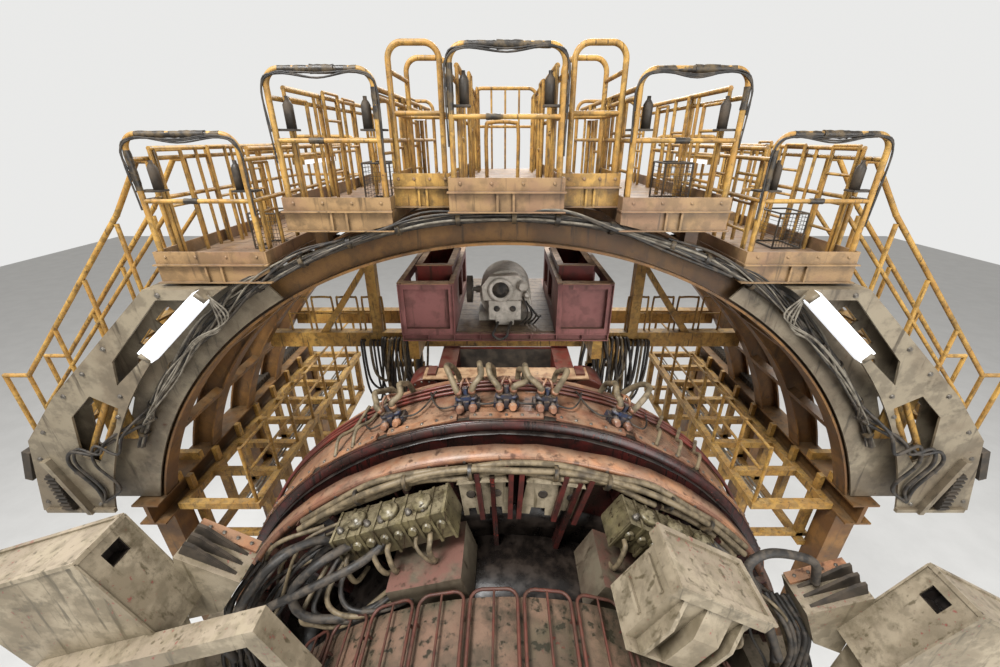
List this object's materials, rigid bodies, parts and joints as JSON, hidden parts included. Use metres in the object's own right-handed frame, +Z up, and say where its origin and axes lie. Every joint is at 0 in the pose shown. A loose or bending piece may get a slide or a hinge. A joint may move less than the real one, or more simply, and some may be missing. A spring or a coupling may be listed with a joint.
{
  "type": "tunnel boring machine segment erector with ring-building platforms",
  "caption": "Ring erector of a large tunnel boring machine under an arch gantry of stepped yellow work platforms.",
  "frame": {"origin": "on the floor, in the middle of the whole assembly", "axes": "+X across to the right seen from the erector, +Y from the erector to the rear, +Z up"},
  "size_m": [14.3, 8.8, 14.71],
  "materials": {
    "platform_yellow": "worn",
    "arch_ochre": "dirty",
    "dark_steel": "greasy",
    "bracket_cream": "dusty",
    "lamp": "glowing",
    "black_rubber": "matt",
    "cradle_rose": "dusty",
    "arm_pale": "dirty",
    "ring_salmon": "rusty",
    "oxide_red": "greasy",
    "manifold_khaki": "greasy",
    "valve_blue": "worn"
  },
  "bodies": {
    "gantry": {"side_beam_left": "arch_ochre", "side_beam_right": "arch_ochre", "arch_1": "arch_ochre", "arch_2": "arch_ochre", "arch_3": "arch_ochre", "arch_4": "arch_ochre", "arch_ties": "arch_ochre", "legs_left": "arch_ochre", "legs_right": "arch_ochre", "base_frame": "arch_ochre", "bridge_beams": "arch_ochre", "travel_beam_left": "dark_steel", "travel_beam_right": "dark_steel", "cross_frame": "platform_yellow", "deck_centre": "platform_yellow", "deck_mid_left": "platform_yellow", "deck_mid_right": "platform_yellow", "deck_outer_left": "platform_yellow", "deck_outer_right": "platform_yellow", "rails_centre": "platform_yellow", "rails_mid_left": "platform_yellow", "rails_mid_right": "platform_yellow", "rails_outer_left": "platform_yellow", "rails_outer_right": "platform_yellow", "step_left": "platform_yellow", "step_right": "platform_yellow", "stair_left": "platform_yellow", "stair_right": "platform_yellow", "stair_rails_left": "platform_yellow", "stair_rails_right": "platform_yellow", "bracket_left": "bracket_cream", "bracket_right": "bracket_cream", "side_lamps": "lamp", "deck_lamps": "lamp", "cable_bundle": "black_rubber", "walkway_left": "platform_yellow", "walkway_right": "platform_yellow"},
    "jack_left": {"jack_pad_left": "dark_steel"},
    "jack_right": {"jack_pad_right": "dark_steel"},
    "cradle": {"cradle_frame": "cradle_rose", "cradle_box_left": "cradle_rose", "cradle_box_right": "cradle_rose", "hydraulic_motor": "arm_pale"},
    "wheel": {"motor_wheel": "dark_steel"},
    "carriage": {"bearing_ring": "ring_salmon", "carriage_frame": "oxide_red", "red_portal": "oxide_red", "drive_motors": "oxide_red", "valve_sets": "valve_blue"},
    "erector": {"turning_ring": "ring_salmon", "hose_drum": "ring_salmon", "drum_hoops": "oxide_red", "manifolds": "manifold_khaki", "valve_boxes": "cradle_rose", "guide_left": "arm_pale", "guide_right": "arm_pale", "cap_box": "arm_pale"},
    "arms": {"telescope_yoke": "arm_pale"},
    "gripper": {"gripper_head": "oxide_red"}
  },
  "joints": [
    {"name": "carriage_travel", "type": "slide", "parent": "gantry", "child": "carriage", "axis": [0, 1, 0], "range_m": [-0.7, 1]},
    {"name": "erector_turn", "type": "hinge", "parent": "carriage", "child": "erector", "pos_m": [0, -3, 7.2], "axis": [0, 1, 0], "range_deg": [-200, 200]},
    {"name": "arm_extend", "type": "slide", "parent": "erector", "child": "arms", "axis": [-0.0872, 0, -0.9962], "range_m": [0, 1.7]},
    {"name": "gripper_slew", "type": "hinge", "parent": "arms", "child": "gripper", "pos_m": [-0.37651, -3.675, 2.89644], "axis": [0.0872, 0, 0.9962], "range_deg": [-5, 5]},
    {"name": "cradle_travel", "type": "slide", "parent": "gantry", "child": "cradle", "axis": [0, 1, 0], "range_m": [0, 0.9]},
    {"name": "wheel_turn", "type": "hinge", "parent": "cradle", "child": "wheel", "pos_m": [-0.6, 0.81, 11.4803], "axis": [1, 0, 0], "continuous": true},
    {"name": "jack_left_push", "type": "slide", "parent": "gantry", "child": "jack_left", "axis": [-0.9397, 0, 0.342], "range_m": [0, 0.3]},
    {"name": "jack_right_push", "type": "slide", "parent": "gantry", "child": "jack_right", "axis": [0.9397, 0, 0.342], "range_m": [0, 0.3]}
  ]
}
